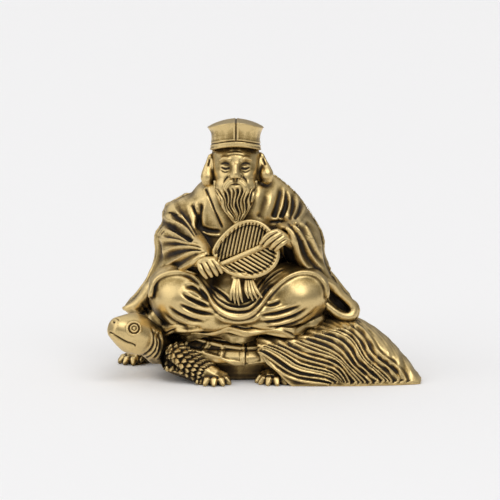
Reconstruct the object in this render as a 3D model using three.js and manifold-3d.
// A long-bearded sage with a leaf fan, seated cross-legged on a long-tailed turtle.
// A brass ornament cast in sections: each casting seats in or on its neighbour with a thin solder gap,
// and one tie rod clamps the hollow figure, the hollow shell and the belly plate together.
// Millimetres. X is to the viewer's right, Y to the back, Z up. It stands on Z = 0.
// Left and right are the sage's own and the turtle's own.
import * as THREE from "three";
import { mergeVertices } from "three/addons/utils/BufferGeometryUtils.js";
import Module from "manifold-3d";

const wasm = await Module();
wasm.setup();

// Fits between castings
const SOLDER_GAP = 0.3;
const SHELL_WALL = 3;
const ROBE_WALL = 3.6;

// Turtle shell and belly plate
const TURTLE_X = -9;
const TURTLE_Y = 2;
const CARAPACE_LENGTH = 69;
const CARAPACE_WIDTH = 56;
const CARAPACE_HEIGHT = 19.5;
const RIM_LIP = 1.6;
const RIM_HEIGHT = 5;
const BELLY_HEIGHT = 7;
const BELLY_INSET = 2.5;
const BELLY_FLOOR = 3;

// Turtle head: the neck leaves the shell's front at the near side, and the head turns to the viewer
const NECK_RADIUS = 6.4;
const NECK_ROOT_RISE = 3;
const NECK_ROOT_SIDE = 11;
const NECK_REACH = 0.6;
const NECK_SIDE = 22;
const NECK_RISE = 6.2;
const TURTLE_HEAD_LENGTH = 18;
const TURTLE_HEAD_WIDTH = 15;
const TURTLE_HEAD_HEIGHT = 15.2;
const TURTLE_HEAD_YAW = 30;
const TURTLE_HEAD_PITCH = 20;

// Turtle legs: where each leaves the shell in degrees round it, its elbow and its foot as steps from there,
// the way its toes point, and how stout it is
const LEGS = {
  front_left_leg: { root: 220, elbow: [-1, -9], foot: [14.5, -13.5], toes: 268, stout: 1 },
  front_right_leg: { root: 140, elbow: [-9, 4], foot: [-18.5, -4], toes: 200, stout: 1 },
  hind_left_leg: { root: 300, elbow: [-2, -3], foot: [-2.5, -6.5], toes: 250, stout: 0.6 },
  hind_right_leg: { root: 58, elbow: [2, 2], foot: [3, 3.5], toes: 80, stout: 0.6 },
};
const LEG_RADIUS = 5.8;
const LEG_SOCKET_DEPTH = 3.2;
const ELBOW_RISE = 2;
const FOOT_LENGTH = 13;
const FOOT_WIDTH = 11.6;
const FOOT_HEIGHT = 7;
const SOLE_RISE = 2.1;
const CLAWS_PER_FOOT = 5;
const CLAW_SPREAD = 66;
const CLAW_LENGTH = 1.7;
const CLAW_RADIUS = 1.1;

// Weed tail: it lies over the rear of the shell, and sweeps down to a tip at the near side
const TAIL_START = -2;
const TAIL_CREST = 20;
const TAIL_END = 61;
const TAIL_HEIGHT = 24;
const TAIL_NEAR = 32.5;
const TAIL_FAR = 32;
const TAIL_TIP_WIDTH = 12;
const TAIL_TIP_HEIGHT = 1.8;
const TAIL_HUMP = 2.6;
const TAIL_LOCK_PITCH = 3.4;
const TAIL_LOCK_DEPTH = 1;
const TAIL_LOCK_SPREAD = 0.23;
const TAIL_LOCK_SWAY = 1.4;
const TAIL_LOCK_WAVE = 27;
const TAIL_UNDERCUT = 13;
const TAIL_TOUCH_DOWN = 11;

// Seat cloth spread on the shell
const CLOTH_THICKNESS = 2.4;
const CLOTH_MARGIN = 3.2;
const CLOTH_WAVES = 9;
const CLOTH_WAVE_DEPTH = 1.1;

// Hem of the robe, spread under the knees
const HEM_LENGTH = 67;
const HEM_WIDTH = 52;
const HEM_SIDE = 3;
const HEM_FORWARD = 5;
const HEM_DROP = 8.6;
const HEM_THICKNESS = 3.8;
const HEM_WAVES = 11;
const HEM_WAVE_DEPTH = 0.9;

// Figure: its heights are above the crown of the shell, its depths from its own upright plane
const FIGURE_X = -10.5;
const FIGURE_Y = 0;

// Robe
const ROBE_SETBACK = 4;
const ROBE_HEM_WIDTH = 74;
const ROBE_HEM_DEPTH = 45;
const SHOULDER_WIDTH = 49;
const SHOULDER_DEPTH = 31;
const SHOULDER_RISE = 31.2;
const NECKLINE_WIDTH = 18;
const NECKLINE_DEPTH = 15;
const NECKLINE_RISE = 49.2;
const NECKLINE_FORWARD = 2;
const ROBE_FOLDS = 9;
const ROBE_FOLD_DEPTH = 1.5;

// Sleeves: upper arm, elbow, and the corner of the hanging cuff
const ARM_RADIUS = 9;
const ARM_OUT = 18.9;
const ARM_BACK = 3;
const ARM_RISE = 36.7;
const ELBOW_OUT = 23.4;
const ELBOW_SIDE = 0.8;
const ELBOW_FORWARD = 2;
const ELBOW_HEIGHT = 26.2;
const CUFF_RADIUS = 5.8;
const DRAPE_THICKNESS = 14.5;
const DRAPE_DEPTH = 21;
const DRAPE_RISE = 0.7;
const RIGHT_DRAPE = { out: 40.5, hollow: 6.8 };
const LEFT_DRAPE = { out: 42.5, hollow: 4.3 };
const SLEEVE_MOUTH_LENGTH = 10;
const SLEEVE_MOUTH_RADIUS = 3.4;

// Crossed legs
const LAP_SIDE = 1.2;
const KNEE_SPREAD = 21.8;
const KNEE_FORWARD = 13.5;
const KNEE_RISE = 4.7;
const KNEE_WIDTH = 26.5;
const KNEE_DEPTH = 32;
const KNEE_HEIGHT = 23.5;
const SHIN_RADIUS = 6.8;
const ANKLE_RADIUS = 4.6;
const ANKLE_FORWARD = 27;
const ANKLE_DROP = 1.4;

// Lap of the robe, and the sash that hangs on it
const LAP_THICKNESS = 1.9;
const LAP_DIP_WIDTH = 27;
const LAP_DIP_DEPTH = 23;
const LAP_DIP_HEIGHT = 20;
const LAP_DIP_FORWARD = 18.5;
const LAP_HEM_DROP = 2.6;
const LAP_REACH = 37;
const LAP_ARC_RADIUS = 9.6;
const LAP_ARC_OUT = 3;
const LAP_ARC_RISE = 0.6;
const SASH_WIDTH = 3.6;
const SASH_LENGTH = 7.5;
const SASH_THICKNESS = 3.2;
const SASH_SIDE = 3;
const SASH_FORWARD = 30;
const SASH_RISE = 11.7;

// Head, ears, beard and hat
const HEAD_WIDTH = 18.6;
const HEAD_DEPTH = 20;
const HEAD_HEIGHT = 25;
const HEAD_OVER_NECKLINE = 4.8;
const HEAD_FORWARD = 3;
const NECK_POST_RADIUS = 5.8;
const NECK_POST_LENGTH = 9;
const EAR_HEIGHT = 13.5;
const EAR_LOBE_RADIUS = 2.7;
const EAR_LEAN = 0.9;
const TEMPLE_RISE = 7;
const BEARD_WIDTH = 17;
const BEARD_LENGTH = 17.5;
const BEARD_THICKNESS = 8.5;
const BEARD_SWING = 4.5;
const HAT_GRIP = 5.3;
const HAT_OVERHANG = 0.6;
const HAT_FLARE = 0.9;
const HAT_WAIST = 0.4;
const HAT_CORNER_HEIGHT = 8.6;
const HAT_HEIGHT = 12;

// Fan
const FAN_LENGTH = 26;
const FAN_WIDTH = 22;
const FAN_THICKNESS = 1.5;
const FAN_RIM = 1.5;
const FAN_RIM_RISE = 0.8;
const FAN_TILT = 24;
const FAN_LEAN = 15;
const FAN_SIDE = 3.6;
const FAN_FORWARD = 25.5;
const FAN_RISE = 23.2;
const SPINE_RADIUS = 1;
const SPINE_MARGIN = 1.5;

// Hands: each knuckle on the fan as steps along, across and out of it, the way the fingers run on it,
// and the wrist as a step from the knuckles
const HANDS = {
  right: { knuckle: [-15, 1.6, 2], fingers: [0.2, -0.98], wrist: [-3.6, 3.4, 3.4] },
  left: { knuckle: [15.6, 0.7, 2.4], fingers: [-0.97, -0.22], wrist: [4, 4, -0.8] },
};
const PALM_WIDTH = 6.4;
const PALM_THICKNESS = 3.8;
const WRIST_RADIUS = 2.6;
const FINGERS = 4;
const FINGER_RADIUS = 0.9;
const FINGER_PITCH = 1.62;
const FINGER_LENGTH = 5.6;

// Tie rod, with its nut and washer in the belly plate
const ROD_RADIUS = 2;
const ROD_GRIP = 2;
const NUT_ACROSS_FLATS = 7;
const NUT_HEIGHT = 3.2;
const NUT_CLEARANCE = 1;
const WASHER_RADIUS = 4.5;
const WASHER_THICKNESS = 0.8;
const BOSS_WALL = 2.2;

// Facets round a form
const DOME_SIDES = 24;
const DOME_STEPS = 5;
const CLOTH_CORNERS = 45;
const TAIL_STEPS = 15;
const TAIL_CURVE_POINTS = 24;
const ROBE_SIDES = 20;
const FOLD_SIDES = 4;
const BALL_SIDES = 14;
const FAN_CORNERS = 44;
const DRAPE_SIDES = 12;
const LIMB_SIDES = 10;
const FINGER_SIDES = 6;
const POST_SIDES = 20;
const FACET_TOLERANCE = 0.1;

const brass = new THREE.MeshStandardMaterial({ color: 0x8f7740, roughness: 0.38, metalness: 1 });
const steel = new THREE.MeshStandardMaterial({ color: 0xa9abad, roughness: 0.35, metalness: 1 });

const RIGHT = -1;
const LEFT = 1;
const carapaceBottom = BELLY_HEIGHT + SOLDER_GAP;
const crown = carapaceBottom + CARAPACE_HEIGHT;
const robeY = FIGURE_Y + ROBE_SETBACK;
const neckline = crown + NECKLINE_RISE;

const vec = (x, y, z) => new THREE.Vector3(x, y, z);
const radians = (degrees) => THREE.MathUtils.degToRad(degrees);
const mix = (low, high, share) => low + (high - low) * share;

// A place on the figure: out to its left, forward of its upright plane and above the shell's crown.
const onFigure = (out, forward, rise) => vec(FIGURE_X + out, FIGURE_Y - forward, crown + rise);

// A closed geometry as a solid with its faces turned outwards.
function solid(geometry) {
  const bare = geometry.index ? geometry.toNonIndexed() : geometry.clone();
  bare.deleteAttribute("normal");
  bare.deleteAttribute("uv");
  const merged = mergeVertices(bare, 1e-4);
  const corners = merged.index.array;
  const triangles = [];
  for (let i = 0; i < corners.length; i += 3) {
    const [a, b, c] = [corners[i], corners[i + 1], corners[i + 2]];
    if (a !== b && b !== c && c !== a) triangles.push([a, b, c]);
  }
  const made = (faces) =>
    new wasm.Manifold(
      new wasm.Mesh({
        numProp: 3,
        vertProperties: merged.attributes.position.array,
        triVerts: new Uint32Array(faces.flat()),
      }),
    );
  const first = made(triangles);
  return first.volume() > 0 ? first : made(triangles.map(([a, b, c]) => [a, c, b]));
}

const join = (first, ...others) => others.reduce((whole, form) => whole.add(form), first);
const cut = (whole, ...tools) => tools.reduce((left, tool) => left.subtract(tool), whole);

// What a neighbour is cut back by: the form grown by the gap.
const seatOf = (form) => form(SOLDER_GAP);

// The casting itself, without the slivers that a cut leaves beside it.
function largest(form) {
  const bodies = form.decompose().sort((a, b) => b.volume() - a.volume());
  return bodies[0];
}

// A closed loft through rings of the same number of points.
function loft(rings) {
  const count = rings[0].length;
  const middle = (ring) => ring.reduce((sum, p) => sum.add(p), vec(0, 0, 0)).divideScalar(count);
  const points = [...rings.flat(), middle(rings[0]), middle(rings.at(-1))];
  const faces = [];
  for (let r = 0; r < rings.length - 1; r++) {
    for (let i = 0; i < count; i++) {
      const [a, b] = [r * count + i, r * count + ((i + 1) % count)];
      faces.push(a, b, b + count, a, b + count, a + count);
    }
  }
  const last = (rings.length - 1) * count;
  for (let i = 0; i < count; i++) {
    const next = (i + 1) % count;
    faces.push(next, i, points.length - 2, last + i, last + next, points.length - 1);
  }
  const positions = new Float32Array(points.flatMap((p) => [p.x, p.y, p.z]));
  const geometry = new THREE.BufferGeometry();
  geometry.setAttribute("position", new THREE.BufferAttribute(positions, 3));
  geometry.setIndex(faces);
  return solid(geometry);
}

// A point of a ring: an ellipse for a power of 2, a rounder box above it.
function onRing(centre, across, along, turn, power) {
  const bend = (value) => Math.sign(value) * Math.abs(value) ** (2 / power);
  return centre
    .clone()
    .addScaledVector(across, bend(Math.cos(turn)))
    .addScaledVector(along, bend(Math.sin(turn)));
}
const ring = (centre, across, along, sides, power = 2) =>
  Array.from({ length: sides }, (_, i) => onRing(centre, across, along, (i / sides) * 2 * Math.PI, power));

// A level ring of a form that stands along Z.
const level = (centre, width, depth, sides, power) =>
  ring(centre, vec(width / 2, 0, 0), vec(0, depth / 2, 0), sides, power);

// A smooth limb through stations of a place, a half width and a half height, with bevelled ends.
function limb(stations, grow = 0, sides = LIMB_SIDES) {
  const capShrink = 0.55;
  const capPush = 0.8;
  const curve = new THREE.CatmullRomCurve3(stations.map((s) => s.at));
  const section = (i, shrink, push) => {
    const wide = stations[i].wide + grow;
    const tall = (stations[i].tall ?? stations[i].wide) + grow;
    const t = i / (stations.length - 1);
    const ahead = curve.getTangent(t).normalize();
    const upright = Math.abs(ahead.z) > 0.9 ? vec(0, 1, 0) : vec(0, 0, 1);
    const side = vec(0, 0, 0).crossVectors(ahead, upright).normalize();
    const up = vec(0, 0, 0).crossVectors(side, ahead).normalize();
    const centre = curve.getPoint(t).addScaledVector(ahead, push * Math.min(wide, tall));
    return ring(centre, side.multiplyScalar(wide * shrink), up.multiplyScalar(tall * shrink), sides);
  };
  const last = stations.length - 1;
  const rings = stations.map((_, i) => section(i, 1, 0));
  return loft([section(0, capShrink, -capPush), ...rings, section(last, capShrink, capPush)]);
}

// A stout jointed limb: straight limbs from station to station.
const chain = (stations, grow = 0, sides = LIMB_SIDES) =>
  join(...stations.slice(1).map((station, i) => limb([stations[i], station], grow, sides)));

function ellipsoid(centre, width, depth, height, grow = 0) {
  const ball = new THREE.SphereGeometry(1, BALL_SIDES, BALL_SIDES / 2 + 2);
  ball.rotateX(Math.PI / 2);
  ball.scale(width / 2 + grow, depth / 2 + grow, height / 2 + grow);
  ball.translate(centre.x, centre.y, centre.z);
  return solid(ball);
}

// An upright post.
function post(x, y, bottom, top, radius, sides = POST_SIDES) {
  const bar = new THREE.CylinderGeometry(radius, radius, top - bottom, sides);
  bar.rotateX(Math.PI / 2);
  bar.translate(x, y, (top + bottom) / 2);
  return solid(bar);
}

// A form turned on the turtle's middle: its profile is in shares of the half sizes and of the height.
function turnedForm(profile, halfLength, halfWidth, bottom, height) {
  const shape = new THREE.LatheGeometry(
    profile.map(([radius, rise]) => new THREE.Vector2(radius, rise)),
    DOME_SIDES,
  );
  shape.rotateX(Math.PI / 2);
  shape.scale(halfLength, halfWidth, height);
  shape.translate(TURTLE_X, TURTLE_Y, bottom);
  return solid(shape);
}

// An outline in X and Z, carried through the whole depth of the ornament.
function throughY(outline) {
  const depth = 4 * CARAPACE_WIDTH;
  const bar = new THREE.ExtrudeGeometry(new THREE.Shape(outline), { depth, bevelEnabled: false });
  bar.rotateX(Math.PI / 2);
  bar.translate(0, depth / 2, 0);
  return solid(bar);
}

// Everything below this height.
function slab(top) {
  const reach = 4 * CARAPACE_LENGTH;
  const block = new THREE.BoxGeometry(reach, reach, reach);
  block.translate(0, 0, top - reach / 2);
  return solid(block);
}
const floor = slab(0);

// Turtle shell: a dome with a stepped rim
const domeProfile = [[0, 0]];
for (let step = 0; step <= DOME_STEPS; step++) {
  const angle = (step / DOME_STEPS) * (Math.PI / 2);
  domeProfile.push([Math.cos(angle), Math.sin(angle)]);
}
const rimProfile = [[0, 0], [0.96, 0], [1, 0.2], [1, 0.55], [0.95, 1], [0, 1]];

function carapaceForm(grow = 0) {
  const halfLength = CARAPACE_LENGTH / 2 + grow;
  const halfWidth = CARAPACE_WIDTH / 2 + grow;
  const bottom = carapaceBottom - grow;
  const dome = turnedForm(domeProfile, halfLength, halfWidth, bottom, CARAPACE_HEIGHT + 2 * grow);
  const rim = turnedForm(
    rimProfile,
    halfLength + RIM_LIP,
    halfWidth + RIM_LIP,
    bottom,
    RIM_HEIGHT + 2 * grow,
  );
  return dome.add(rim);
}

const shellHollow = turnedForm(
  domeProfile,
  CARAPACE_LENGTH / 2 - SHELL_WALL,
  CARAPACE_WIDTH / 2 - SHELL_WALL,
  carapaceBottom - SOLDER_GAP,
  CARAPACE_HEIGHT - SHELL_WALL + SOLDER_GAP,
);

// Tie rod: from the nut under the belly to a blind hole in the robe
const nutTop = NUT_CLEARANCE + NUT_HEIGHT;
const washerTop = nutTop + SOLDER_GAP + WASHER_THICKNESS;
const bossRoof = washerTop + SOLDER_GAP;
const robeRoof = neckline - NECK_POST_LENGTH;
const rodTop = robeRoof - ROD_GRIP;
const rodForm = (grow = 0) => post(FIGURE_X, robeY, NUT_CLEARANCE, rodTop + grow, ROD_RADIUS + grow);
const rodHole = post(FIGURE_X, robeY, -BELLY_HEIGHT, rodTop, ROD_RADIUS + SOLDER_GAP);
const washer = cut(post(FIGURE_X, robeY, nutTop + SOLDER_GAP, washerTop, WASHER_RADIUS), rodHole);
const nut = cut(post(FIGURE_X, robeY, NUT_CLEARANCE, nutTop, NUT_ACROSS_FLATS / Math.sqrt(3), 6), rodHole);

// Belly plate: a tray with a flat foot, and a boss that the nut pulls on
const bellyProfile = [[0, 0], [0.86, 0], [0.93, 0.16], [0.97, 0.45], [1, 1], [0, 1]];
const trayProfile = [[0, 0], [0.9, 0], [0.96, 0.3], [1, 1], [0, 1]];
const bellyForm = (grow = 0) =>
  turnedForm(
    bellyProfile,
    CARAPACE_LENGTH / 2 - BELLY_INSET + grow,
    CARAPACE_WIDTH / 2 - BELLY_INSET + grow,
    -grow,
    BELLY_HEIGHT + 2 * grow,
  );
const tray = turnedForm(
  trayProfile,
  CARAPACE_LENGTH / 2 - BELLY_INSET - SHELL_WALL,
  CARAPACE_WIDTH / 2 - BELLY_INSET - SHELL_WALL,
  BELLY_FLOOR,
  BELLY_HEIGHT,
);
const counterboreRadius = WASHER_RADIUS + SOLDER_GAP;
const boss = post(FIGURE_X, robeY, SOLDER_GAP, bossRoof + BOSS_WALL, counterboreRadius + BOSS_WALL);
const counterbore = post(FIGURE_X, robeY, -BELLY_HEIGHT, bossRoof, counterboreRadius);

// Turtle head on its neck
const headAxis = vec(
  -Math.cos(radians(TURTLE_HEAD_PITCH)) * Math.cos(radians(TURTLE_HEAD_YAW)),
  -Math.cos(radians(TURTLE_HEAD_PITCH)) * Math.sin(radians(TURTLE_HEAD_YAW)),
  Math.sin(radians(TURTLE_HEAD_PITCH)),
);
const shellFront = TURTLE_X - CARAPACE_LENGTH / 2;
const neckRoot = vec(shellFront + SHELL_WALL, TURTLE_Y - NECK_ROOT_SIDE, carapaceBottom + NECK_ROOT_RISE);
const nape = vec(shellFront - NECK_REACH, TURTLE_Y - NECK_SIDE, neckRoot.z + NECK_RISE);
const alongHead = (share) => nape.clone().addScaledVector(headAxis, share * TURTLE_HEAD_LENGTH);
const headStation = (share, fullness) => ({
  at: alongHead(share),
  wide: (TURTLE_HEAD_WIDTH / 2) * fullness,
  tall: (TURTLE_HEAD_HEIGHT / 2) * fullness,
});

function turtleHeadForm(grow = 0) {
  const girths = [[0, 0.8], [0.25, 1], [0.48, 1], [0.65, 0.82], [0.76, 0.56]];
  const skull = chain(
    girths.map(([share, fullness]) => headStation(share, fullness)),
    grow,
    DRAPE_SIDES,
  );
  const neck = chain(
    [neckRoot, neckRoot.clone().lerp(nape, 0.6), alongHead(0.1)].map((at) => ({ at, wide: NECK_RADIUS })),
    grow,
  );
  return skull.add(neck);
}

// Turtle legs: a jointed limb, a broad foot and its claws
function turtleLegForm({ root, elbow, foot, toes, stout }, grow = 0) {
  const girth = LEG_RADIUS * stout;
  const start = vec(
    TURTLE_X + (CARAPACE_LENGTH / 2 - LEG_SOCKET_DEPTH) * Math.cos(radians(root)),
    TURTLE_Y + (CARAPACE_WIDTH / 2 - LEG_SOCKET_DEPTH) * Math.sin(radians(root)),
    BELLY_HEIGHT * stout,
  );
  const bend = start.clone().add(vec(elbow[0], elbow[1], ELBOW_RISE * stout));
  const sole = vec(start.x + foot[0], start.y + foot[1], SOLE_RISE);
  const leg = chain(
    [
      { at: start, wide: girth },
      { at: bend, wide: girth },
      { at: sole, wide: girth * 0.72 },
    ],
    grow,
  );
  const toward = (degrees, distance) =>
    sole.clone().add(vec(Math.cos(radians(degrees)), Math.sin(radians(degrees)), 0).multiplyScalar(distance));
  const padEnd = (share) => ({
    at: toward(toes, share * (FOOT_LENGTH - FOOT_WIDTH)),
    wide: FOOT_WIDTH / 2,
    tall: FOOT_HEIGHT / 2,
  });
  const pad = limb([padEnd(-0.5), padEnd(0.5)], grow);
  const clawRoot = FOOT_WIDTH / 2 - CLAW_RADIUS;
  const claws = Array.from({ length: CLAWS_PER_FOOT }, (_, i) => {
    const way = toes + CLAW_SPREAD * (2 * (i / (CLAWS_PER_FOOT - 1)) - 1);
    const stations = [
      { at: toward(way, clawRoot), wide: CLAW_RADIUS * 1.5 },
      { at: toward(way, clawRoot + CLAW_LENGTH).setZ(CLAW_RADIUS * 0.8), wide: CLAW_RADIUS * 0.8 },
    ];
    return limb(stations, grow, FINGER_SIDES);
  });
  return cut(join(leg, pad, ...claws), floor);
}

// Seat cloth: a wavy-edged skin on the shell
const clothOutline = Array.from({ length: CLOTH_CORNERS }, (_, i) => {
  const angle = (i / CLOTH_CORNERS) * 2 * Math.PI;
  const margin = CLOTH_MARGIN + CLOTH_WAVE_DEPTH * Math.sin(CLOTH_WAVES * angle);
  return new THREE.Vector2(
    TURTLE_X + (CARAPACE_LENGTH / 2 - margin) * Math.cos(angle),
    TURTLE_Y + (CARAPACE_WIDTH / 2 - margin) * Math.sin(angle),
  );
});
const clothColumn = new THREE.ExtrudeGeometry(new THREE.Shape(clothOutline), {
  depth: 2 * CARAPACE_HEIGHT,
  bevelEnabled: false,
});
clothColumn.translate(0, 0, carapaceBottom + RIM_HEIGHT / 2);
const clothTop = SOLDER_GAP + CLOTH_THICKNESS;
const clothSkin = cut(carapaceForm(clothTop), carapaceForm(SOLDER_GAP));
const clothForm = solid(clothColumn).intersect(clothSkin);
const clothSeat = carapaceForm(clothTop + SOLDER_GAP);

// Hem of the robe: a wavy-edged plate that the knees overhang
function hemForm(grow = 0, height = HEM_THICKNESS) {
  const outline = Array.from({ length: CLOTH_CORNERS }, (_, i) => {
    const angle = (i / CLOTH_CORNERS) * 2 * Math.PI;
    const wave = grow + HEM_WAVE_DEPTH * Math.sin(HEM_WAVES * angle);
    return new THREE.Vector2(
      FIGURE_X + HEM_SIDE + (HEM_LENGTH / 2 + wave) * Math.cos(angle),
      FIGURE_Y - HEM_FORWARD + (HEM_WIDTH / 2 + wave) * Math.sin(angle),
    );
  });
  const plate = new THREE.ExtrudeGeometry(new THREE.Shape(outline), {
    depth: height + 2 * grow,
    bevelEnabled: false,
  });
  plate.translate(0, 0, crown - HEM_DROP - grow);
  return solid(plate);
}

// Weed tail: sections across X, each a curve from the near floor over the crest to the far floor
function tailSection(x) {
  const share = (x - TAIL_START) / (TAIL_END - TAIL_START);
  const past = Math.max(0, (x - TAIL_CREST) / (TAIL_END - TAIL_CREST));
  const height = mix(TAIL_HEIGHT, TAIL_TIP_HEIGHT, past ** TAIL_HUMP);
  const near = -TAIL_NEAR * (1 - 0.12 * past ** 3);
  const far = mix(TAIL_FAR, near + TAIL_TIP_WIDTH, past ** 1.6);
  const bluntness = mix(0.5, 0.95, Math.min(1, 1.4 * share));
  const points = Array.from({ length: TAIL_CURVE_POINTS + 1 }, (_, i) => {
    const turn = (i / TAIL_CURVE_POINTS) * Math.PI;
    const y = (near + far) / 2 - (Math.cos(turn) * (far - near)) / 2;
    return vec(x, FIGURE_Y + y, Math.sin(turn) ** bluntness * height);
  });
  return new THREE.CatmullRomCurve3(points);
}

// The tail's locks lie side by side from the far floor, spread and sway along it, and end on the near floor.
function tailForm() {
  const corners = Math.ceil((2 * tailSection(TAIL_CREST).getLength()) / TAIL_LOCK_PITCH) + 2;
  const rings = Array.from({ length: TAIL_STEPS + 1 }, (_, i) => {
    const x = mix(TAIL_START, TAIL_END, i / TAIL_STEPS);
    const section = tailSection(x);
    const girth = section.getLength();
    const pitch = (TAIL_LOCK_PITCH / 2) * (1 + (TAIL_LOCK_SPREAD * i) / TAIL_STEPS);
    const sway = TAIL_LOCK_SWAY * Math.sin((2 * Math.PI * (x - TAIL_CREST)) / TAIL_LOCK_WAVE);
    const onSection = (fromFar, depth) => {
      const place = 1 - THREE.MathUtils.clamp(fromFar / girth, 0, 1);
      const ahead = section.getTangentAt(place);
      const fade = Math.min(1, (2 * girth * Math.min(place, 1 - place)) / TAIL_LOCK_PITCH);
      return section.getPointAt(place).add(vec(0, -ahead.z, ahead.y).multiplyScalar(depth * fade));
    };
    const locks = Array.from({ length: corners }, (_, s) =>
      onSection((s + 1) * pitch - sway, (s % 2 ? -TAIL_LOCK_DEPTH : TAIL_LOCK_DEPTH) / 2),
    );
    return [onSection(0, 0), ...locks, onSection(girth, 0)];
  });
  const undercut = throughY([
    new THREE.Vector2(2 * TAIL_START, -TAIL_UNDERCUT),
    new THREE.Vector2(TAIL_TOUCH_DOWN, -TAIL_UNDERCUT),
    new THREE.Vector2(TAIL_TOUCH_DOWN, 0),
    new THREE.Vector2(TAIL_START, TAIL_UNDERCUT),
    new THREE.Vector2(2 * TAIL_START, TAIL_UNDERCUT),
  ]);
  return cut(loft(rings), undercut, floor);
}

// Robe: a bell from the shell's rim to the neckline, with folds down its back
const foldCorners = ROBE_FOLDS * FOLD_SIDES;
const robeTurns = [
  ...Array.from({ length: foldCorners }, (_, i) => (i / foldCorners) * Math.PI),
  ...Array.from({ length: ROBE_SIDES / 2 }, (_, i) => (1 + (2 * i) / ROBE_SIDES) * Math.PI),
];

function robeForm(grow = 0, top = neckline, foldDepth = ROBE_FOLD_DEPTH) {
  const shoulderZ = crown + SHOULDER_RISE;
  const rounding = top + grow - shoulderZ;
  const heights = [0, 1, 2, 3].map((i) => mix(carapaceBottom, shoulderZ, i / 3));
  heights.push(...[1, 2, 3, 4].map((i) => shoulderZ + rounding * Math.sin((i / 4) * (Math.PI / 2))));
  const rings = heights.map((z) => {
    const slope = Math.min(1, (z - carapaceBottom) / (shoulderZ - carapaceBottom)) ** 1.15;
    const past = Math.max(0, (z - shoulderZ) / rounding);
    const narrowing = 1 - Math.sqrt(Math.max(0, 1 - past ** 2));
    const width = mix(mix(ROBE_HEM_WIDTH, SHOULDER_WIDTH, slope), NECKLINE_WIDTH, narrowing);
    const depth = mix(mix(ROBE_HEM_DEPTH, SHOULDER_DEPTH, slope), NECKLINE_DEPTH, narrowing);
    const centre = vec(FIGURE_X, robeY - NECKLINE_FORWARD * past, z);
    const fold = foldDepth * (1 - 0.4 * slope) * (1 - past);
    return robeTurns.map((turn) => {
      const wave = grow + fold * Math.max(0, Math.sin(turn)) * Math.cos(2 * ROBE_FOLDS * turn);
      const across = vec(width / 2 + wave, 0, 0);
      const along = vec(0, depth / 2 + wave, 0);
      return onRing(centre, across, along, turn, 2.3);
    });
  });
  return loft(rings);
}

// Fan: a plate that leans back, with its spine rising to the viewer's right
const fanMiddle = onFigure(FAN_SIDE, FAN_FORWARD, FAN_RISE);
const fanPlace = new THREE.Matrix4()
  .makeTranslation(fanMiddle)
  .multiply(new THREE.Matrix4().makeRotationX(radians(90 - FAN_LEAN)))
  .multiply(new THREE.Matrix4().makeRotationZ(radians(FAN_TILT)));
const onFan = (along, across, out) => vec(along, across, out).applyMatrix4(fanPlace);
const fanFront = FAN_THICKNESS / 2;

function fanPlate(inset, from, to) {
  const broaderTip = 0.12;
  const outline = Array.from({ length: FAN_CORNERS }, (_, i) => {
    const angle = (i / FAN_CORNERS) * 2 * Math.PI;
    const half = (FAN_WIDTH / 2 - inset) * (1 + broaderTip * Math.cos(angle));
    return new THREE.Vector2((FAN_LENGTH / 2 - inset) * Math.cos(angle), half * Math.sin(angle));
  });
  const plate = new THREE.ExtrudeGeometry(new THREE.Shape(outline), {
    depth: to - from,
    bevelEnabled: false,
  });
  plate.translate(0, 0, from);
  plate.applyMatrix4(fanPlace);
  return solid(plate);
}

function spineForm(grow = 0) {
  const end = FAN_LENGTH / 2 - FAN_RIM - SPINE_MARGIN;
  const stations = [-end, 0, end].map((along) => ({ at: onFan(along, 0, fanFront), wide: SPINE_RADIUS }));
  return limb(stations, grow, FINGER_SIDES);
}

const fanForm = cut(
  fanPlate(0, -fanFront, fanFront + FAN_RIM_RISE),
  fanPlate(FAN_RIM, fanFront, fanFront + 2 * FAN_RIM_RISE),
);
const fanSeat = fanPlate(-SOLDER_GAP, -fanFront - SOLDER_GAP, fanFront + FAN_RIM_RISE + SOLDER_GAP);

// Hands: a palm at the fan's edge, and fingers laid on its face
const knuckleOf = ({ knuckle }) => onFan(...knuckle);
const wristOf = (hand) => knuckleOf(hand).add(vec(...hand.wrist));

function handForm(hand, grow = 0) {
  const knuckle = knuckleOf(hand);
  const wrist = wristOf(hand);
  const palm = limb(
    [
      { at: wrist, wide: WRIST_RADIUS },
      { at: wrist.clone().lerp(knuckle, 0.58), wide: PALM_THICKNESS * 0.58, tall: PALM_WIDTH / 2 },
      { at: knuckle, wide: PALM_THICKNESS / 2, tall: PALM_WIDTH / 2 },
    ],
    grow,
  );
  const [runAlong, runAcross] = hand.fingers;
  const alongFan = (along, across, out) => onFan(along, across, out).sub(fanMiddle);
  const fingers = Array.from({ length: FINGERS }, (_, i) => {
    const offset = (i - (FINGERS - 1) / 2) * FINGER_PITCH;
    const start = knuckle.clone().add(alongFan(-runAcross * offset, runAlong * offset, 0));
    const place = (run, out) => start.clone().add(alongFan(runAlong * run, runAcross * run, out));
    const stations = [
      { at: start, wide: FINGER_RADIUS * 1.1 },
      { at: place(FINGER_LENGTH * 0.55, FINGER_RADIUS), wide: FINGER_RADIUS },
      { at: place(FINGER_LENGTH * 0.9, -FINGER_RADIUS / 2), wide: FINGER_RADIUS * 0.8 },
    ];
    return limb(stations, grow, FINGER_SIDES);
  });
  return join(palm, ...fingers);
}

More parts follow.
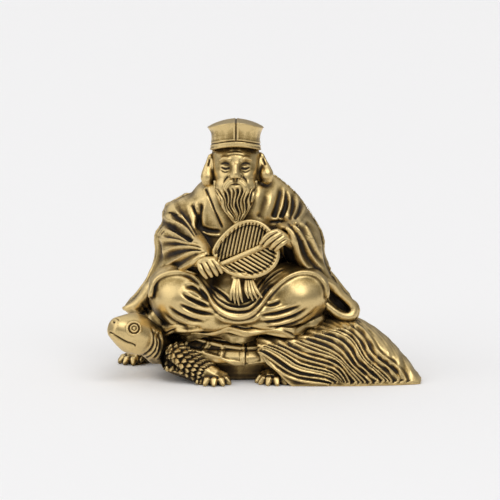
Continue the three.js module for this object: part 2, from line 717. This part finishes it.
// Sleeves: upper arm, forearm to the wrist, the hanging cuff, and the cloth between the last two
function sleeveForm(side, hand, { out, hollow }, grow = 0) {
  const elbow = onFigure(ELBOW_SIDE + side * ELBOW_OUT, ELBOW_FORWARD, ELBOW_HEIGHT);
  const corner = onFigure(side * out, ELBOW_FORWARD, DRAPE_RISE);
  const bend = { at: elbow, wide: ARM_RADIUS };
  const shoulder = { at: onFigure(side * ARM_OUT, -ARM_BACK, ARM_RISE), wide: ARM_RADIUS * 1.05 };
  const upperArm = limb([shoulder, bend], grow, DRAPE_SIDES);
  const forearm = limb([bend, { at: wristOf(hand), wide: CUFF_RADIUS }], grow, DRAPE_SIDES);
  const hang = elbow.clone().lerp(corner, 0.5).add(vec(-side * hollow, 0, 0));
  const drape = chain(
    [
      { at: elbow, wide: DRAPE_DEPTH * 0.42, tall: ARM_RADIUS * 0.95 },
      { at: hang, wide: DRAPE_DEPTH * 0.48, tall: DRAPE_THICKNESS / 2 },
      { at: corner, wide: DRAPE_DEPTH / 2, tall: DRAPE_THICKNESS * 0.32 },
    ],
    grow,
    DRAPE_SIDES,
  );
  const fall = hang.clone().lerp(corner, 0.5).add(vec(-side * hollow, -DRAPE_DEPTH * 0.25, 0));
  const fullness = DRAPE_THICKNESS * 0.6;
  const web = wasm.Manifold.hull([forearm, ellipsoid(fall, fullness, fullness, fullness, grow)]);
  return join(upperArm, drape, web);
}

// The open mouth of the left sleeve, along the lower edge of its cuff
function sleeveMouth() {
  const front = ELBOW_FORWARD + DRAPE_DEPTH / 2;
  return limb([
    {
      at: onFigure(LEFT_DRAPE.out - SLEEVE_MOUTH_LENGTH * 0.8, front, DRAPE_RISE + SLEEVE_MOUTH_LENGTH * 0.6),
      wide: DRAPE_DEPTH * 0.2,
      tall: SLEEVE_MOUTH_RADIUS * 0.6,
    },
    { at: onFigure(LEFT_DRAPE.out, front, DRAPE_RISE), wide: DRAPE_DEPTH * 0.25, tall: SLEEVE_MOUTH_RADIUS },
  ]);
}

// Crossed legs: a broad knee, and a shin that runs to the middle
const onLap = (out, forward, rise) => onFigure(LAP_SIDE + out, forward, rise);

function legForm(side, grow = 0) {
  const knee = onLap(side * KNEE_SPREAD, KNEE_FORWARD, KNEE_RISE);
  const shin = chain(
    [
      { at: knee.clone().add(vec(side, -SHIN_RADIUS * 0.6, -SHIN_RADIUS * 0.4)), wide: SHIN_RADIUS * 1.2 },
      { at: onLap(side * KNEE_SPREAD * 0.45, ANKLE_FORWARD - 1, -ANKLE_DROP / 2), wide: SHIN_RADIUS },
      { at: onLap(-side, ANKLE_FORWARD, -ANKLE_DROP), wide: ANKLE_RADIUS },
    ],
    grow,
  );
  return ellipsoid(knee, KNEE_WIDTH, KNEE_DEPTH, KNEE_HEIGHT, grow).add(shin);
}

// Lap: the robe's front lies over both thighs as a skin, arches over the knees and dips between them
function lapForm(grow = 0) {
  const overKnee = (turn) => [
    KNEE_SPREAD + LAP_ARC_OUT + LAP_ARC_RADIUS * Math.cos(radians(turn)),
    KNEE_RISE + LAP_ARC_RISE + LAP_ARC_RADIUS * Math.sin(radians(turn)),
  ];
  const inDip = (out, rise) => [LAP_DIP_WIDTH * out, LAP_DIP_HEIGHT * rise - LAP_HEM_DROP];
  const hem = [
    ...[0, 35, 65, 90, 115, 145].map(overKnee),
    ...[[0.46, 0.47], [0.35, 0.2], [0.22, 0.05], [0, 0]].map(([out, rise]) => inDip(out, rise)),
  ];
  const mirrored = hem.slice(0, -1).map(([out, rise]) => [-out, rise]);
  const across = [[-LAP_REACH, NECKLINE_RISE], ...mirrored, ...hem.toReversed(), [LAP_REACH, NECKLINE_RISE]];
  const aboveHem = throughY(
    across.map(([out, rise]) => new THREE.Vector2(FIGURE_X + LAP_SIDE + out, crown + rise - grow)),
  );
  const dipAt = onLap(0, LAP_DIP_FORWARD, LAP_DIP_HEIGHT / 2 - LAP_HEM_DROP - LAP_THICKNESS);
  const dip = ellipsoid(dipAt, LAP_DIP_WIDTH, LAP_DIP_DEPTH, LAP_DIP_HEIGHT, grow);
  const skin = SOLDER_GAP + LAP_THICKNESS + grow;
  return join(legForm(RIGHT, skin), legForm(LEFT, skin), dip).intersect(aboveHem);
}

// Sash: two flat ends that part below the fan
function sashForm() {
  const ends = [RIGHT, LEFT].map((side) => {
    const place = (out, forward, drop) =>
      onFigure(SASH_SIDE + side * SASH_WIDTH * out, SASH_FORWARD + forward, SASH_RISE - SASH_LENGTH * drop);
    return limb([
      { at: place(0.42, 0, 0), wide: SASH_WIDTH * 0.5, tall: SASH_THICKNESS / 2 },
      { at: place(0.75, SASH_THICKNESS * 0.5, 0.5), wide: SASH_WIDTH * 0.58, tall: SASH_THICKNESS / 2 },
      { at: place(0.95, SASH_THICKNESS * 0.7, 1), wide: SASH_WIDTH * 0.66, tall: SASH_THICKNESS * 0.44 },
    ]);
  });
  return join(...ends);
}

// Head: skull, jaw, nose and the hair at its temples, on a neck post
const headAt = onFigure(0, HEAD_FORWARD, NECKLINE_RISE + HEAD_OVER_NECKLINE);
const onHead = (across, forward, rise) =>
  headAt.clone().add(vec(across * HEAD_WIDTH, -forward * HEAD_DEPTH, rise * HEAD_HEIGHT));

function headForm(grow = 0) {
  const skull = ellipsoid(headAt, HEAD_WIDTH, HEAD_DEPTH, HEAD_HEIGHT, grow);
  const chin = onHead(0, 0.18, -0.26);
  const jaw = ellipsoid(chin, HEAD_WIDTH * 0.84, HEAD_DEPTH * 0.68, HEAD_HEIGHT * 0.48, grow);
  const nose = limb(
    [
      { at: onHead(0, 0.46, 0.08), wide: HEAD_WIDTH * 0.07 },
      { at: onHead(0, 0.54, -0.07), wide: HEAD_WIDTH * 0.11 },
    ],
    grow,
    FINGER_SIDES,
  );
  const temples = loft(
    [-grow, TEMPLE_RISE + grow].map((rise) =>
      level(
        headAt.clone().add(vec(0, HEAD_DEPTH * 0.06, rise)),
        HEAD_WIDTH * 0.98 + 2 * grow,
        HEAD_DEPTH * 0.74 + 2 * grow,
        BALL_SIDES,
        2.2,
      ),
    ),
  );
  return join(skull, jaw, nose, temples);
}
const neckPost = (grow = 0) =>
  post(FIGURE_X, robeY - HEAD_FORWARD, robeRoof - grow, headAt.z, NECK_POST_RADIUS + grow);

function earForm(side, grow = 0) {
  const top = onHead(side * 0.54, -0.1, 0).add(vec(0, 0, EAR_HEIGHT * 0.3));
  const lobeStep = vec(side * EAR_LEAN, 0, EAR_LOBE_RADIUS * 1.6 - EAR_HEIGHT);
  const bowl = top.clone().addScaledVector(lobeStep, 0.55);
  const stations = [
    { at: top, wide: EAR_LOBE_RADIUS * 0.45, tall: EAR_LOBE_RADIUS * 0.8 },
    { at: bowl, wide: EAR_LOBE_RADIUS * 0.62, tall: EAR_LOBE_RADIUS * 0.9 },
    { at: top.clone().add(lobeStep), wide: EAR_LOBE_RADIUS },
  ];
  return limb(stations, grow);
}

// Beard: a curved wedge from the cheeks to a point on the chest
function beardForm() {
  const root = onHead(0, 0.36, -0.16);
  const rings = Array.from({ length: 8 }, (_, i) => {
    const share = i / 7;
    const width = BEARD_WIDTH * Math.max(0.08, 1 - share ** 1.9);
    const thickness = BEARD_THICKNESS * (1 - 0.75 * share ** 1.6);
    const centre = root.clone().add(vec(share ** 2, -BEARD_SWING * share, -BEARD_LENGTH * share));
    return level(centre, width, thickness, LIMB_SIDES + 4);
  });
  return loft(rings);
}

// Hat: a flared cap with a low gabled crown, hollow over the skull
function hatForm() {
  const brimZ = headAt.z + HEAD_HEIGHT / 2 - HAT_GRIP;
  const brimWidth = HEAD_WIDTH + 2 * HAT_OVERHANG;
  const brimDepth = HEAD_DEPTH + 2 * HAT_OVERHANG;
  const slice = (rise, flare, share = 1) =>
    level(
      vec(FIGURE_X, headAt.y, brimZ + rise),
      (brimWidth + 2 * flare) * share,
      (brimDepth + 2 * flare) * share,
      ROBE_SIDES,
      2.4,
    );
  return loft([
    slice(0, 0),
    slice(HAT_CORNER_HEIGHT * 0.45, -HAT_WAIST),
    slice(HAT_CORNER_HEIGHT, HAT_FLARE),
    slice(mix(HAT_CORNER_HEIGHT, HAT_HEIGHT, 0.62), HAT_FLARE, 0.7),
    slice(HAT_HEIGHT, HAT_FLARE, 0.25),
  ]);
}

// Seats that neighbours are cut back by
const neckSocket = seatOf(turtleHeadForm);
const legSockets = Object.values(LEGS).map((leg) => seatOf((grow) => turtleLegForm(leg, grow)));
const headSeat = seatOf(headForm);
const earSeats = [RIGHT, LEFT].map((side) => seatOf((grow) => earForm(side, grow)));
const robeSeat = seatOf(robeForm);
const spineSeat = seatOf(spineForm);
const rightLegSeat = seatOf((grow) => legForm(RIGHT, grow));
const crossedLegs = rightLegSeat.add(seatOf((grow) => legForm(LEFT, grow)));
const rightSleeveForm = (grow) => sleeveForm(RIGHT, HANDS.right, RIGHT_DRAPE, grow);
const leftSleeveForm = (grow) => sleeveForm(LEFT, HANDS.left, LEFT_DRAPE, grow);
const sleeveSeats = [robeSeat, crossedLegs, seatOf(lapForm), clothSeat, fanSeat];
const handSeat = (hand) => seatOf((grow) => handForm(hand, grow));

// Castings, each cut back to its seats
const carapace = cut(carapaceForm(), shellHollow, rodHole, neckSocket, ...legSockets);
const plastron = cut(bellyForm().subtract(tray).add(boss), counterbore, rodHole, neckSocket, ...legSockets);
const turtleLegs = Object.entries(LEGS).map(([name, leg]) => [name, cut(turtleLegForm(leg), neckSocket)]);
const tail = cut(
  tailForm(),
  carapaceForm(SOLDER_GAP),
  bellyForm(SOLDER_GAP),
  clothSeat,
  robeSeat,
  crossedLegs,
  seatOf(leftSleeveForm),
  hemForm(SOLDER_GAP, TAIL_HEIGHT),
  ...legSockets,
);
const seatCloth = cut(clothForm, rodHole, neckSocket);
const robe = cut(
  robeForm(),
  robeForm(-ROBE_WALL, robeRoof, 0),
  clothSeat,
  neckSocket,
  neckPost(SOLDER_GAP),
  headSeat,
  ...earSeats,
  rodForm(SOLDER_GAP),
);
const hem = cut(hemForm(), clothSeat, robeSeat, crossedLegs, neckSocket, ...legSockets);
const rightSleeve = cut(rightSleeveForm(0), ...sleeveSeats, handSeat(HANDS.right), neckSocket);
const leftSleeve = cut(leftSleeveForm(0), ...sleeveSeats, handSeat(HANDS.left), sleeveMouth());
const rightLeg = cut(legForm(RIGHT), clothSeat, robeSeat);
const leftLeg = cut(legForm(LEFT), clothSeat, robeSeat, rightLegSeat);
const lap = cut(lapForm(), crossedLegs, robeSeat, clothSeat, fanSeat);
const sash = cut(sashForm(), seatOf(lapForm), robeSeat, crossedLegs, fanSeat);
const head = cut(headForm().add(neckPost()), ...earSeats);
const beard = cut(beardForm(), headSeat, neckPost(SOLDER_GAP), robeSeat);

const castings = [
  ["carapace", carapace],
  ["plastron", plastron],
  ["turtle_head", turtleHeadForm()],
  ...turtleLegs,
  ["weed_tail", tail],
  ["seat_cloth", seatCloth],
  ["robe_body", robe],
  ["robe_hem", hem],
  ["right_sleeve", rightSleeve],
  ["left_sleeve", leftSleeve],
  ["right_hand", cut(handForm(HANDS.right), fanSeat, spineSeat)],
  ["left_hand", cut(handForm(HANDS.left), fanSeat, spineSeat)],
  ["right_leg", rightLeg],
  ["left_leg", leftLeg],
  ["lap_cloth", lap],
  ["sash", sash],
  ["head", head],
  ["right_ear", earForm(RIGHT)],
  ["left_ear", earForm(LEFT)],
  ["beard", beard],
  ["hat", cut(hatForm(), headSeat)],
  ["fan_leaf", cut(fanForm, spineSeat)],
  ["fan_spine", spineForm()],
];
const fittings = [
  ["tie_rod", rodForm()],
  ["tie_washer", washer],
  ["tie_nut", nut],
];

// A solid as a named mesh.
function meshOf(name, form, material) {
  const { vertProperties, triVerts, numProp } = largest(largest(form).simplify(FACET_TOLERANCE)).getMesh();
  const positions = new Float32Array((vertProperties.length / numProp) * 3);
  for (let i = 0; i < positions.length / 3; i++) {
    positions.set(vertProperties.subarray(i * numProp, i * numProp + 3), i * 3);
  }
  const geometry = new THREE.BufferGeometry();
  geometry.setAttribute("position", new THREE.BufferAttribute(positions, 3));
  geometry.setIndex(new THREE.BufferAttribute(triVerts, 1));
  geometry.computeVertexNormals();
  const mesh = new THREE.Mesh(geometry, material);
  mesh.name = name;
  return mesh;
}

const figurine = new THREE.Group();
for (const [name, form] of castings) figurine.add(meshOf(name, form, brass));
for (const [name, form] of fittings) figurine.add(meshOf(name, form, steel));

// The origin is on the floor, under the middle of the whole ornament.
const reach = new THREE.Box3().setFromObject(figurine);
const middle = reach.getCenter(vec(0, 0, 0));
figurine.position.set(-middle.x, -middle.y, -reach.min.z);

export default figurine;
